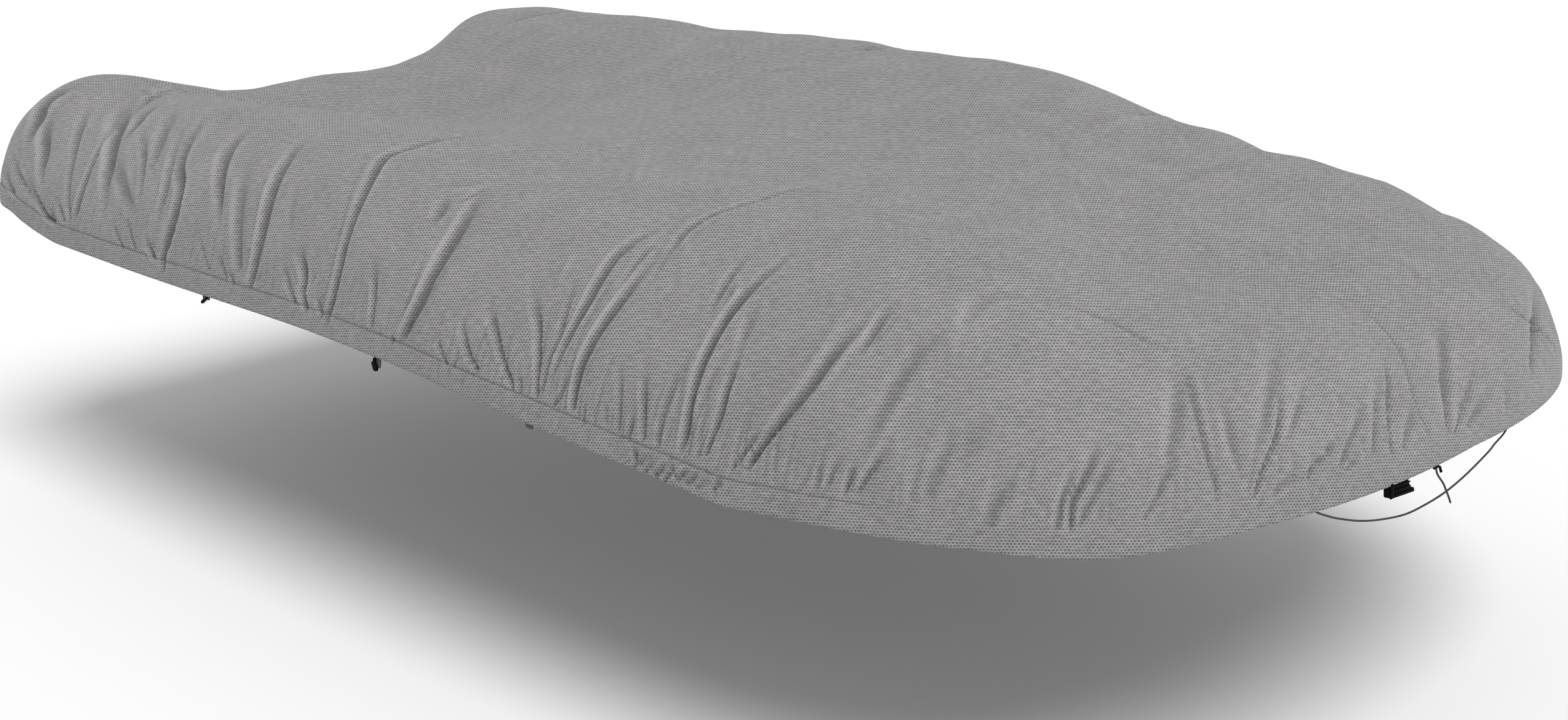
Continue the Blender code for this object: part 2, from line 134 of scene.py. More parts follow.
# Distance along the hem from the stern, height of the hem's edge over its level.
HEM = (
    (0.00, 0.028),
    (0.40, 0.030),
    (0.65, 0.046),
    (0.76, 0.060),
    (0.82, 0.058),
    (0.88, 0.043),
    (0.95, 0.030),
    (1.02, 0.023),
    (1.27, 0.023),
    (1.82, 0.029),
    (2.05, 0.023),
    (2.30, 0.007),
    (2.53, -0.009),
    (2.74, -0.023),
    (2.83, -0.029),
    (2.92, -0.023),
    (3.08, -0.018),
    (3.22, -0.019),
    (3.37, -0.026),
    (3.50, -0.016),
    (3.63, -0.001),
    (3.81, 0.007),
    (4.08, 0.014),
)

# The creases, in millimetres: depth, half width, and the trough's points from its foot,
# as round and up. The right side comes first, from the stern to the bow, then small
# wrinkles in the hem's edge, ridges, with a depth below nought, and five creases left of
# the middle.
CREASES = (
    (7, 9, (160, 40), (190, 120), (170, 210)),
    (5, 7, (310, 40), (300, 100), (340, 180)),
    (8, 9, (470, 40), (490, 130), (440, 220)),
    (6, 7, (600, 40), (630, 110), (620, 220)),
    (7, 8, (750, 40), (730, 120), (690, 210)),
    (15, 15, (870, 130), (850, 155), (825, 195), (775, 235), (765, 280)),
    (11, 12, (965, 85), (930, 120), (910, 155), (850, 210)),
    (6, 8, (925, 55), (895, 70), (855, 85), (825, 105)),
    (6, 8, (855, 40), (830, 50), (810, 70)),
    (8, 7, (1020, 40), (975, 45), (925, 70), (900, 85)),
    (6, 4, (1020, 45), (1005, 50), (990, 60)),
    (6, 6, (1055, 45), (1035, 65), (1015, 85)),
    (9, 9, (1080, 50), (1050, 110), (1005, 180), (940, 245), (910, 270)),
    (11, 10, (1090, 55), (1105, 115), (1095, 195), (1060, 250), (995, 300)),
    (17, 15, (1210, 70), (1185, 130), (1155, 195), (1095, 255), (1010, 315)),
    (13, 15, (1170, 220), (1155, 265), (1115, 320), (1095, 345)),
    (7, 9, (1085, 290), (970, 375), (845, 455), (730, 515)),
    (7, 8, (1325, 100), (1305, 160), (1270, 210), (1210, 260)),
    (7, 15, (1330, 100), (1280, 125), (1235, 155), (1190, 190)),
    (5, 5, (1270, 35), (1245, 60), (1235, 80)),
    (6, 5, (1315, 40), (1300, 60), (1285, 90)),
    (7, 14, (1335, 165), (1305, 230), (1250, 305), (1235, 325)),
    (9, 7, (1380, 35), (1365, 50), (1355, 65)),
    (13, 12, (1405, 10), (1410, 50), (1435, 115), (1435, 175), (1395, 225), (1370, 295)),
    (7, 9, (1385, 65), (1390, 130), (1380, 195), (1340, 275)),
    (4, 5, (1565, 45), (1530, 85), (1520, 105)),
    (13, 12, (1590, 110), (1560, 170), (1525, 230), (1505, 280), (1500, 305)),
    (7, 14, (1655, 55), (1645, 115), (1630, 170), (1595, 235)),
    (5, 5, (1620, 40), (1605, 60), (1590, 80)),
    (6, 5, (1640, 35), (1625, 55)),
    (13, 10, (1685, 30), (1700, 80), (1705, 135), (1700, 190), (1680, 260), (1665, 310)),
    (3, 5, (1710, 50), (1725, 80)),
    (6, 6, (1825, 35), (1800, 65), (1785, 95)),
    (12, 9, (1860, 30), (1840, 60), (1840, 85), (1820, 125)),
    (3, 8, (1790, 145), (1775, 170), (1755, 220)),
    (6, 6, (1900, 30), (1885, 60)),
    (13, 9, (1910, 5), (1930, 85), (1930, 185), (1905, 280), (1865, 380), (1835, 550)),
    (8, 6, (2035, 40), (2030, 105), (2020, 140)),
    (3, 4, (2060, 35), (2060, 50)),
    (5, 6, (2090, 30), (2095, 45)),
    (12, 10, (2110, 35), (2145, 120), (2150, 215), (2145, 270), (2135, 315)),
    (5, 6, (2105, 295), (2115, 320), (2120, 340)),
    (7, 11, (2090, 235), (2090, 260), (2080, 300)),
    (5, 5, (2235, 35), (2215, 55), (2200, 75)),
    (3, 5, (2250, 35), (2255, 65)),
    (8, 6, (2310, 45), (2275, 75), (2255, 110)),
    (9, 7, (2390, 40), (2360, 75), (2330, 115), (2300, 150)),
    (6, 6, (2405, 40), (2400, 65)),
    (11, 6, (2440, 40), (2430, 100), (2410, 150), (2380, 185)),
    (8, 5, (2450, 45), (2455, 105), (2460, 160), (2445, 215)),
    (14, 7, (2460, 65), (2475, 105), (2485, 195), (2475, 295), (2485, 340)),
    (6, 5, (2475, 40), (2495, 70), (2505, 115)),
    (4, 4, (2535, 40), (2535, 70)),
    (14, 7, (2520, 40), (2520, 85), (2535, 165), (2545, 240), (2545, 280)),
    (6, 6, (2530, 250), (2520, 295), (2520, 340)),
    (8, 7, (2585, 225), (2570, 295), (2555, 350), (2535, 445), (2530, 680)),
    (4, 4, (2545, 30), (2545, 65)),
    (4, 4, (2570, 40), (2565, 65)),
    (4, 5, (2595, 45), (2590, 75)),
    (6, 6, (2620, 40), (2615, 95), (2600, 140)),
    (6, 5, (2640, 35), (2645, 75)),
    (7, 6, (2670, 40), (2665, 85), (2650, 145)),
    (7, 7, (2700, 40), (2700, 85), (2710, 160)),
    (7, 5, (2655, 5), (2655, 30)),
    (8, 6, (2720, 245), (2700, 295), (2690, 360)),
    (4, 5, (2720, 280), (2715, 310)),
    (6, 6, (2740, 275), (2735, 310), (2730, 325)),
    (6, 4, (2760, 50), (2755, 100)),
    (15, 7, (2745, 45), (2745, 95), (2740, 165), (2740, 245), (2745, 305), (2750, 365)),
    (4, 5, (2780, 50), (2775, 95), (2775, 125)),
    (13, 6, (2790, 55), (2800, 105), (2800, 160), (2795, 205)),
    (5, 8, (2795, 205), (2785, 250), (2775, 290)),
    (6, 5, (2840, 50), (2865, 90), (2885, 115)),
    (12, 8, (2865, 50), (2885, 90), (2915, 135), (2945, 185), (2965, 235), (2985, 280)),
    (8, 7, (3010, 235), (3015, 280), (3020, 325)),
    (5, 5, (2990, 45), (2995, 75)),
    (4, 6, (3010, 50), (3010, 70), (3025, 100)),
    (7, 5, (3035, 50), (3040, 70), (3045, 85)),
    (5, 13, (3050, 80), (3060, 120), (3080, 185), (3105, 255), (3125, 290)),
    (7, 6, (3055, 55), (3070, 85), (3090, 115)),
    (3, 12, (3140, 50), (3140, 70), (3145, 105)),
    (4, 14, (3155, 55), (3170, 100), (3190, 145), (3200, 175)),
    (3.5, 14, (3195, 80), (3205, 125), (3230, 180)),
    (5, 12, (3240, 30), (3255, 70), (3265, 90)),
    (6, 7, (3330, 35), (3340, 85), (3355, 115)),
    (9, 6, (3350, 35), (3350, 75), (3370, 115), (3380, 145)),
    (6, 6, (3360, 45), (3380, 85), (3405, 135)),
    (6, 8, (3530, 285), (3480, 330), (3410, 385), (3340, 410)),
    (2, 12, (3340, 410), (3240, 410), (3185, 385), (3165, 325)),
    (5, 6, (3445, 45), (3470, 85), (3485, 115)),
    (5, 13, (3490, 75), (3485, 115), (3505, 180), (3525, 250)),
    (6, 6, (3555, 50), (3540, 115), (3535, 175), (3535, 255)),
    (5, 8, (3595, 60), (3580, 120), (3580, 180)),
    (5, 12, (3615, 80), (3640, 140), (3730, 245)),
    (11, 5, (3605, 40), (3625, 80), (3655, 120), (3685, 170)),
    (5, 6, (3670, 105), (3690, 130), (3745, 180)),
    (4, 7, (3635, 40), (3665, 55), (3685, 55)),
    (6, 6, (3695, 45), (3710, 65), (3770, 90)),
    (6, 7, (3755, 50), (3790, 85), (3830, 115)),
    (3, 6, (3770, 45), (3800, 60)),
    (5, 8, (3825, 50), (3860, 110), (3905, 140)),
    (8, 5, (3865, 40), (3890, 105), (3965, 170)),
    (5, 10, (3895, 40), (3915, 65), (3950, 90)),
    (4, 5, (3960, 35), (3965, 105), (4050, 195), (4125, 315)),
    (7, 12, (4010, 35), (4080, 105), (4205, 190)),
    (6, 6, (4025, 30), (4070, 55), (4175, 105)),
    (4, 8, (4065, 30), (4105, 45), (4165, 65)),
    (4, 7, (4190, 25), (4225, 65)),
    (10, 8, (4305, 55), (4395, 105), (4580, 140)),
    (6, 5, (2650, 0), (2675, 20)),
    (5, 5, (2675, 0), (2690, 20)),
    (6, 5, (2695, 0), (2715, 20)),
    (7, 5, (2715, 0), (2735, 25)),
    (6, 5, (2735, 5), (2760, 30)),
    (7, 5, (2755, 5), (2780, 30)),
    (5, 5, (2780, 10), (2800, 30)),
    (5, 5, (2810, 15), (2825, 35)),
    (-4, 7, (2945, 140), (2980, 210), (3005, 290)),
    (-3, 8, (2920, 175), (2945, 250), (2950, 305)),
    (-3, 8, (2420, 200), (2410, 235), (2400, 280)),
    (-3, 11, (3155, 260), (3150, 320), (3140, 385)),
    (-3, 8, (2055, 275), (2060, 310), (2100, 335), (2120, 375)),
    (3, 12, (5340, 920), (5350, 780), (5390, 620)),
    (3, 12, (5070, 840), (5230, 670), (5235, 550)),
    (3, 10, (5610, 765), (5685, 600)),
    (3, 10, (6405, 820), (6290, 675), (6215, 515)),
    (3, 10, (7330, 685), (7175, 590)),
)
# The left side mirrors the right one's deeper creases, a little shallower and further
# on, up to a little before the bow tip.
LEFT_CREASE_DEPTH = 7
LEFT_CREASE_SHARE = 0.8
LEFT_CREASE_SHIFT = 0.07
LEFT_CREASES_END = 0.2
# Two wide dips across the left shoulder at the bow: along, from and to up, half width.
LEFT_DIPS = (
    (2.83, 0.26, 0.56, 0.060),
    (3.24, 0.16, 0.42, 0.050),
)
DIP_DEPTH = 0.0112

# A crease's section, in half widths and depths: a sharp valley in a wide one, with a
# soft ridge on each side, one higher than the other by a share that changes from
# crease to crease.
VALLEY_POWER = 1.7
WIDE_VALLEY = 2.6
WIDE_SHARE = 0.32
RIDGE_AT = 1.9
RIDGE_WIDTH = 0.95
RIDGE_HEIGHT = 0.26
RIDGE_LEAN = 0.4
LEAN_CHANGE = 2.4
CREASE_REACH = 9
# Painted shade in the valleys and painted highlight on the ridges, and the crease depth whose
# painted shade is full.
DEEP_SHADE = 0.85
WIDE_SHADE = 0.20
RIDGE_SHADE = 0.50
DEEP_CREASE = 0.012
# All creases are this much deeper and narrower than the table says. They run on past
# their last point, widen from foot to end, rise over the first share of their length
# (the second where the foot lies high on the wall) and fade over the rest.
DEPTH_SCALE = 1.15
WIDTH_SCALE = 0.76
WIDTH_AT_FOOT = 0.65
WIDENING = 0.65
CREASE_RISE = (0.08, 0.40)
HIGH_FOOT = 0.060
CREASE_FADE = 0.50
CREASE_RUN_ON = 0.22
CREASE_STEPS = 28
SHORT_CREASE_STEPS = 8

# Finer creases beside the deeper ones: from what depth, and the ranges of their gap,
# end, start, spread, share of the depth and half width.
COMPANION_OF = 6
COMPANION_GAP = (0.009, 0.018)
COMPANION_END = (0.45, 0.85)
COMPANION_START = (0.01, 0.05)
COMPANION_SPREAD = (0.8, 1.7)
COMPANION_SHARE = (0.14, 0.30)
COMPANION_WIDTH = (3.5, 5.5)

# Small puckers over the hem's stitching, and slanting wrinkles in the hem itself:
# how far apart, how deep in millimetres, how far up they start, how long they are and
# how far they lean to the bow. The hem is tight over a stretch of the right side, where
# they are closer and deeper.
STITCH_UP = 0.040
PUCKERS = (0.023, (0.6, 2.0), STITCH_UP, (0.035, 0.120), (-0.010, 0.022))
WRINKLES = (0.018, (0.5, 1.3), 0.003, (0.024, 0.036), (0.004, 0.034))
PUCKER_WIDTH = (2.6, 4.4)
PITCH_SPREAD = (0.5, 1.5)
TIGHT_HEM = (2.20, 3.00)
TIGHT_SHARE = 0.5
TIGHT_DEPTH = 1.4

# The groove of the hem's stitching, the painted shade in it, and where both fade out, towards the
# bow.
SEAM_DEPTH = 0.0015
SEAM_WIDTH = 0.0022
SEAM_SHADE = 0.45
SEAM_FADES = (0.70, 1.10)

# Soft waves all over the cloth: how many, how long, their height for their length, their
# start in radians, and how far up the cloth they reach their full height.
WAVES = 14
WAVE_LENGTH = (0.10, 0.42)
WAVE_STEEPNESS = 0.0045
WAVE_START = (0, 6.28)
WAVES_FROM = 0.12

# The mesh: stretches of columns round the right side (from, to, how many), columns
# round the left, rows in the hem in millimetres up, rows on the wall and on the top.
# The top's rows have every second column and then every fourth, as the inner face has.
RIGHT_COLUMNS = ((0.00, 0.60, 40), (0.60, 3.30, 800), (3.30, None, 172))
LEFT_COLUMNS = 340
HEM_ROWS = (0, 5, 12, 20, 28, 34, 37.5, 40, 42.5, 46, 52, 60)
WALL_ROW_COUNT = 42
HALVED_ROWS = 7
QUARTERED_ROWS = 15
COARSE_STEP = 4
TOP_SPREAD = 1.25
INNER_HEM_ROWS = (0, 4, 8, 11)
INNER_WALL_START = 14
INNER_WALL_STEP = 3
EDGE_DROP = 0.35
SAME_PLACE = 1e-5
FAR_UP = 1.0
DENSE_WALL = np.linspace(0, 1, 41)
DENSE_TOP = np.linspace(0, 1, 26)[1:]


def eased(table_x, table_y, x):
    """The smooth curve through a table's points, with no bump between them."""
    xs, ys = np.array(table_x, float), np.array(table_y, float)
    step = np.diff(xs)
    slope = np.diff(ys) / step
    tangent = np.zeros(len(xs))
    before, after = 2 * step[1:] + step[:-1], step[1:] + 2 * step[:-1]
    rising = slope[1:] * slope[:-1] > 0
    safe = np.where(slope == 0, 1.0, slope)
    both = np.where(rising, before / safe[:-1] + after / safe[1:], 1.0)
    tangent[1:-1] = np.where(rising, (before + after) / both, 0.0)
    tangent[0], tangent[-1] = slope[0], slope[-1]
    x = np.clip(np.asarray(x, float), xs[0], xs[-1])
    i = np.clip(np.searchsorted(xs, x) - 1, 0, len(step) - 1)
    t = (x - xs[i]) / step[i]
    start = (1 + 2 * t) * (1 - t) ** 2 * ys[i] + t * (1 - t) ** 2 * step[i] * tangent[i]
    end = t * t * (3 - 2 * t) * ys[i + 1] + t * t * (t - 1) * step[i] * tangent[i + 1]
    return start + end


def distances(points):
    """How far along a line of points each of them lies."""
    runs = norm(np.diff(points, axis=0), axis=1)
    return np.concatenate([[0], np.cumsum(runs)])


def along_line(places, runs, points):
    """A line's points at some distances along it."""
    return np.stack([np.interp(places, runs, column) for column in points.T], -1)


def hem_outline():
    """Half of the hem's outline from the stern's middle to the bow tip, and the
    distance along it of each of its points."""
    flat = np.linspace(0, HALF_STERN - STERN_CORNER_RADIUS, TRANSOM_POINTS)[:-1]
    transom = np.stack([0 * flat, flat], 1)
    turn = np.linspace(0, math.pi / 2, CORNER_POINTS)[:-1]
    corner_x = STERN_CORNER_RADIUS * (1 - np.cos(turn))
    corner_y = HALF_STERN - STERN_CORNER_RADIUS * (1 - np.sin(turn))
    corner = np.stack([corner_x, corner_y], 1)
    x = np.linspace(STERN_CORNER_RADIUS, BOW_START, SIDE_POINTS)[:-1]
    widening = np.sin(math.pi / 2 * (x - STERN_CORNER_RADIUS) / (BOW_START - STERN_CORNER_RADIUS))
    side = np.stack([x, HALF_STERN + (HALF_BEAM - HALF_STERN) * widening], 1)
    turn = np.linspace(0, math.pi / 2, BOW_POINTS)
    bow_x = BOW_START + (LENGTH - BOW_START) * np.sin(turn) ** (2 / BOW_BLUNTNESS)
    bow_y = HALF_BEAM * np.cos(turn) ** (2 / BOW_SIDE_BLUNTNESS)
    points = np.vstack([transom, corner, side, np.stack([bow_x, bow_y], 1)])
    return points, distances(points)


OUTLINE, OUTLINE_ALONG = hem_outline()
HALF_ROUND = OUTLINE_ALONG[-1]


def columns_of(round_at):
    """The cloth without its creases, as columns of points from the hem to the middle
    line, how far up the cloth each point is, and how far up the shoulder is."""
    round_at = np.asarray(round_at, float)
    side = np.where(round_at <= HALF_ROUND, RIGHT, LEFT)
    along = np.where(side == RIGHT, round_at, 2 * HALF_ROUND - round_at)
    share, lean, right, left, roundness = np.array(WALL).T
    here = along / HALF_ROUND
    hem = along_line(along, OUTLINE_ALONG, OUTLINE)
    middle = np.stack([np.clip(hem[:, 0], MIDDLE_START, MIDDLE_END), 0 * here], 1)
    reach = norm(middle - hem, axis=1)
    inward = (middle - hem) / reach[:, None]
    lean = eased(share, lean, here)
    shoulder = np.where(side == RIGHT, eased(share, right, here), eased(share, left, here))
    power = 2 / eased(share, roundness, here)
    edge = eased(*np.array(HEM).T, along)
    top = eased(MIDDLE_FROM_STERN, MIDDLE_HEIGHT, middle[:, 0])
    shape = []
    for row in DENSE_WALL:
        turn = math.pi / 2 * row
        inset = lean * (1 - abs(math.cos(turn)) ** power)
        shape.append((inset, edge + (shoulder - edge) * math.sin(turn) ** power))
    for row in DENSE_TOP:
        height = shoulder + (top - shoulder) * row * row * (3 - 2 * row)
        shape.append((lean + (reach - lean) * row, height))
    rows = [(hem + inward * inset[:, None], height) for inset, height in shape]
    points = np.array([np.column_stack(row) for row in rows])
    points[..., 1] *= side
    points -= (MOUNT_FROM_STERN, 0, MOUNT_HEIGHT)
    runs = norm(np.diff(points, axis=0), axis=2)
    up = np.vstack([0 * here, np.cumsum(runs, axis=0)])
    return points, up, up[len(DENSE_WALL) - 1]


def at_heights(points, heights, up):
    """The point of each column of points at its own distance up."""
    found = np.empty((len(up), 3))
    for j, height in enumerate(up):
        for k in range(3):
            found[j, k] = np.interp(height, heights[:, j], points[:, j, k])
    return found


def on_cloth(round_at, up):
    """The points of the smooth cloth at distances round the hem and up from it."""
    points, heights, _ = columns_of(round_at)
    return at_heights(points, heights, up)


# ---- cloth creases


def step_up(t):
    t = np.clip(t, 0, 1)
    return t * t * (3 - 2 * t)


def between(a, b, c, d, t):
    """The place at a share t from b to c on a smooth curve through four points."""
    bend = 2 * a - 5 * b + 4 * c - d
    twist = 3 * b - a - 3 * c + d
    return b + 0.5 * ((c - a) * t + bend * t * t + twist * t**3)


def with_ends(points):
    """A line's points, with one more before and after them for its smooth curve."""
    return np.vstack([2 * points[0] - points[1], points, 2 * points[-1] - points[-2]])


def smooth_curve(points, count):
    """Evenly spread points on a smooth curve through the given ones."""
    points = np.array(points, float)
    runs, full = distances(points), with_ends(points)
    at = np.linspace(0, runs[-1], count)
    k = np.clip(np.searchsorted(runs, at, side="right") - 1, 0, len(points) - 2)
    t = ((at - runs[k]) / (runs[k + 1] - runs[k]))[:, None]
    return between(*(full[k + i] for i in range(4)), t)


def pucker_rows():
    """Short creases that run up from the stitching, and wrinkles under it."""
    rows = []
    for pitch, depths, foot, reach, leans in (PUCKERS, WRINKLES):
        at = 0.0
        while at < 2 * HALF_ROUND:
            tight = TIGHT_HEM[0] < at < TIGHT_HEM[1]
            at += pitch * seeded(*PITCH_SPREAD) * (TIGHT_SHARE if tight else 1)
            line = ((at, foot), (at + seeded(*leans), foot + seeded(*reach)))
            depth = seeded(*depths) * (TIGHT_DEPTH if tight else 1)
            rows.append((depth, seeded(*PUCKER_WIDTH), line))
    return rows


def placed_rows():
    """The listed creases, with their lines in metres."""
    rows = []
    for depth, width, *line in CREASES:
        rows.append((depth, width, [(at / 1000, up / 1000) for at, up in line]))
    return rows


def companion_rows(placed):
    """Finer creases that run beside the deeper ones, a little shorter."""
    rows = []
    for depth, _, line in placed:
        if depth < COMPANION_OF:
            continue
        round_at, ups = zip(*line)
        for side in (-1, 1):
            gap = side * seeded(*COMPANION_GAP)
            high = ups[0] + (ups[-1] - ups[0]) * seeded(*COMPANION_END)
            low = ups[0] + seeded(*COMPANION_START)
            heights = (low, (low + high) / 2, high)
            spread = seeded(*COMPANION_SPREAD)
            way = np.interp(heights, ups, round_at) + gap * spread ** np.arange(3)
            share, width = seeded(*COMPANION_SHARE), seeded(*COMPANION_WIDTH)
            rows.append((depth * share, width, tuple(zip(way, heights))))
    return rows


def all_creases():
    placed = placed_rows()
    rows = list(placed)
    for depth, width, line in placed:
        furthest = max(at for at, _ in line)
        if depth >= LEFT_CREASE_DEPTH and furthest < HALF_ROUND - LEFT_CREASES_END:
            turned = [(2 * HALF_ROUND - at - LEFT_CREASE_SHIFT, up) for at, up in line]
            rows.append((depth * LEFT_CREASE_SHARE, width, turned))
    return rows + companion_rows(placed) + pucker_rows()


def section(away, side_share):
    """A crease's height across it, for distances in half widths, and its painted shade there, 1
    deep in the valley, and its painted highlight, down to -1 on a ridge."""
    deep = np.exp(-np.abs(away) ** VALLEY_POWER)
    wide = np.exp(-((away / WIDE_VALLEY) ** 2))
    low = np.exp(-(((away + RIDGE_AT) / RIDGE_WIDTH) ** 2)) * (1 + side_share)
    high = np.exp(-(((away - RIDGE_AT) / RIDGE_WIDTH) ** 2)) * (1 - side_share)
    height = RIDGE_HEIGHT * (low + high) - (1 - WIDE_SHARE) * deep - WIDE_SHARE * wide
    return height, DEEP_SHADE * deep + WIDE_SHADE * wide - RIDGE_SHADE * (low + high)


def run_on(line):
    """A crease's line with its last stretch carried on, so that it dies away there."""
    points = np.array(line, float)
    last = points[-1] - points[-2]
    length = distances(points)[-1]
    points[-1] += last / norm(last) * CREASE_RUN_ON * length
    return points


def crease_push(points, normals, depth, half_width, line, lean=0.0):
    """How far one crease moves each point out along the cloth's normal, and the painted shade and
    highlight it gives each point."""
    count = CREASE_STEPS if len(line) > 2 else SHORT_CREASE_STEPS
    way = smooth_curve(run_on(line), count)
    trough = on_cloth(way[:, 0], way[:, 1])
    margin = CREASE_REACH * half_width
    near = np.all((points > trough.min(0) - margin) & (points < trough.max(0) + margin), axis=1)
    push, painted_shading = np.zeros((2, len(points)))
    if not near.any():
        return push, painted_shading
    here = points[near]
    start, run = trough[:-1], np.diff(trough, axis=0)
    offset = here[:, None] - start[None]
    t = np.clip((offset * run).sum(2) / (run * run).sum(1), 0, 1)
    apart = offset - t[..., None] * run
    distance = norm(apart, axis=2)
    nearest = distance.argmin(1)
    pick = np.arange(len(here))
    across = np.cross(run[nearest], normals[near])
    sign = np.sign((apart[pick, nearest] * across).sum(1))
    away = sign * distance[pick, nearest] / half_width
    share = (nearest + t[pick, nearest]) / len(run)
    rise = CREASE_RISE[0] if line[0][1] < HIGH_FOOT else CREASE_RISE[1]
    strength = step_up(share / rise) * step_up((1 - share) / (1 - CREASE_FADE))
    height, painted_shading_across = section(away / (WIDTH_AT_FOOT + WIDENING * share), lean)
    push[near] = depth * strength * height
    # Painted shade in the crease's valley and painted highlight on its ridges, stronger for
    # deeper creases.
    painted_shading[near] = depth / DEEP_CREASE * strength * painted_shading_across
    return push, painted_shading


def all_pushes(points, normals, up):
    """The whole displacement of the cloth, in metres, at each point, and the painted shade and
    highlight of the creases there."""
    push, painted_shading = np.zeros((2, len(points)))
    for number, (depth, width, line) in enumerate(all_creases()):
        lean = RIDGE_LEAN * (1 + math.sin(LEAN_CHANGE * number))
        size = DEPTH_SCALE * depth / 1000, WIDTH_SCALE * width / 1000
        one = crease_push(points, normals, *size, line, lean)
        push += one[0]
        painted_shading += one[1]
    for along, low, high, width in LEFT_DIPS:
        at = 2 * HALF_ROUND - along
        line = [(at, up_at) for up_at in (low, (low + high) / 2, high)]
        push += crease_push(points, normals, DIP_DEPTH, width, line)[0]
    waviness = WAVE_STEEPNESS * step_up(up / WAVES_FROM)
    for _ in range(WAVES):
        length = seeded(*WAVE_LENGTH)
        run = RANDOM.normal(size=3)
        run *= TURN / length / norm(run)
        push += waviness * length * np.sin(points @ run + seeded(*WAVE_START))
    return push, painted_shading


# ---- cloth mesh


def band(low, high, count):
    """The faces between two rings of points, from the rings' first indices."""
    after = [(j + 1) % count for j in range(count)]
    return [(low + j, low + k, high + k, high + j) for j, k in enumerate(after)]


def ring_columns():
    """The places round the hem of the mesh's columns."""
    right = []
    for start, end, count in RIGHT_COLUMNS:
        right.append(np.linspace(start, end or HALF_ROUND, count + 1)[:-1])
    left = np.linspace(HALF_ROUND, 2 * HALF_ROUND, LEFT_COLUMNS + 1)[:-1]
    return np.concatenate(right + [left])


def outer_rows(ring):
    """Rows of points from the hem to just short of the middle line, each with its
    heights up the cloth and its step in columns."""
    points, heights, shoulder = columns_of(ring)
    total = heights[-1]
    targets = [(np.full(len(ring), mm / 1000), 1) for mm in HEM_ROWS]
    low = HEM_ROWS[-1] / 1000
    for k in range(1, WALL_ROW_COUNT + 1):
        targets.append((low + (shoulder - low) * k / WALL_ROW_COUNT, 1))
    top_rows = HALVED_ROWS + QUARTERED_ROWS
    for k in range(1, top_rows):
        share = (k / top_rows) ** TOP_SPREAD
        step = 2 if k <= HALVED_ROWS else COARSE_STEP
        targets.append((shoulder + (total - shoulder) * share, step))
    rows = []
    for target, step in targets:
        up = target[::step]
        rows.append((at_heights(points[:, ::step], heights[:, ::step], up), up, step))
    return rows, points[-1]


def cloth_grid():
    """Points, faces and heights up the cloth of its outer face, and where each row
    starts. The last points are the middle line's."""
    ring = ring_columns()
    rows, middle_points = outer_rows(ring)
    starts = np.cumsum([0] + [len(row) for row, _, _ in rows])
    faces = []
    for r in range(len(rows) - 1):
        low, high = starts[r], starts[r + 1]
        count, above = len(rows[r][0]), len(rows[r + 1][0])
        if count == above:
            faces += band(low, high, count)
            continue
        for j in range(above):
            three = [low + m % count for m in (2 * j, 2 * j + 1, 2 * j + 2)]
            faces.append((*three, high + (j + 1) % above, high + j))
    last_row, last_start = len(rows[-1][0]), starts[-2]
    right_count = sum(count for _, _, count in RIGHT_COLUMNS) // COARSE_STEP
    ends = middle_points[::COARSE_STEP]
    line, places = [], []
    for j in range(right_count + 1):
        if not line or ends[j, 0] - line[-1][0] > SAME_PLACE:
            line.append(ends[j])
        places.append(len(line) - 1)
    line = np.array(line)
    for j in range(right_count + 1, last_row):
        places.append(int(np.abs(line[:, 0] - ends[j, 0]).argmin()))
    for j in range(last_row):
        k = (j + 1) % last_row
        a, b = places[j], places[k]
        way = range(b, a - 1, -1) if b >= a else range(b, a + 1)
        faces.append((last_start + j, last_start + k, *(starts[-1] + m for m in way)))
    points = np.vstack([row for row, _, _ in rows] + [line])
    up = np.concatenate([target for _, target, _ in rows] + [np.full(len(line), FAR_UP)])
    return points, faces, up, starts, [step for _, _, step in rows]


def corner_normals(points, faces):
    """The smooth normal at each point of a mesh."""
    mesh = bpy.data.meshes.new("normals")
    mesh.from_pydata([tuple(p) for p in points], [], faces)
    normals = np.empty(len(points) * 3)
    mesh.vertices.foreach_get("normal", normals)
    bpy.data.meshes.remove(mesh)
    return normals.reshape(-1, 3)


def inner_grid(push, starts, steps):
    """The inner face's rows: each one's points, as indices of the outer face's points,
    and the lowest push near each of them."""
    full_rows = len(HEM_ROWS) + WALL_ROW_COUNT
    kept = list(INNER_HEM_ROWS) + list(range(INNER_WALL_START, full_rows, INNER_WALL_STEP))
    kept += [r for r in range(len(steps)) if steps[r] == COARSE_STEP]
    rows = []
    for r in kept:
        start, end = starts[r], starts[r + 1]
        stride = COARSE_STEP // steps[r]
        near = [np.roll(push[start:end], shift) for shift in range(-stride, stride + 1)]
        if steps[r] == 1:
            for k in range(max(r - 2, 0), min(r + 3, full_rows)):
                near.append(push[starts[k] : starts[k + 1]])
        rows.append((np.arange(start, end, stride), np.min(near, axis=0)[::stride]))
    return rows


def seam_depth(points, up):
    """How far each point lies in the groove of the hem's stitching, which flattens
    out towards the bow, where the hem is only turned under."""
    groove = np.exp(-(((up - STITCH_UP) / SEAM_WIDTH) ** 2))
    bow = step_up((points[:, 0] - SEAM_FADES[0]) / (SEAM_FADES[1] - SEAM_FADES[0]))
    return groove * (1 - bow)


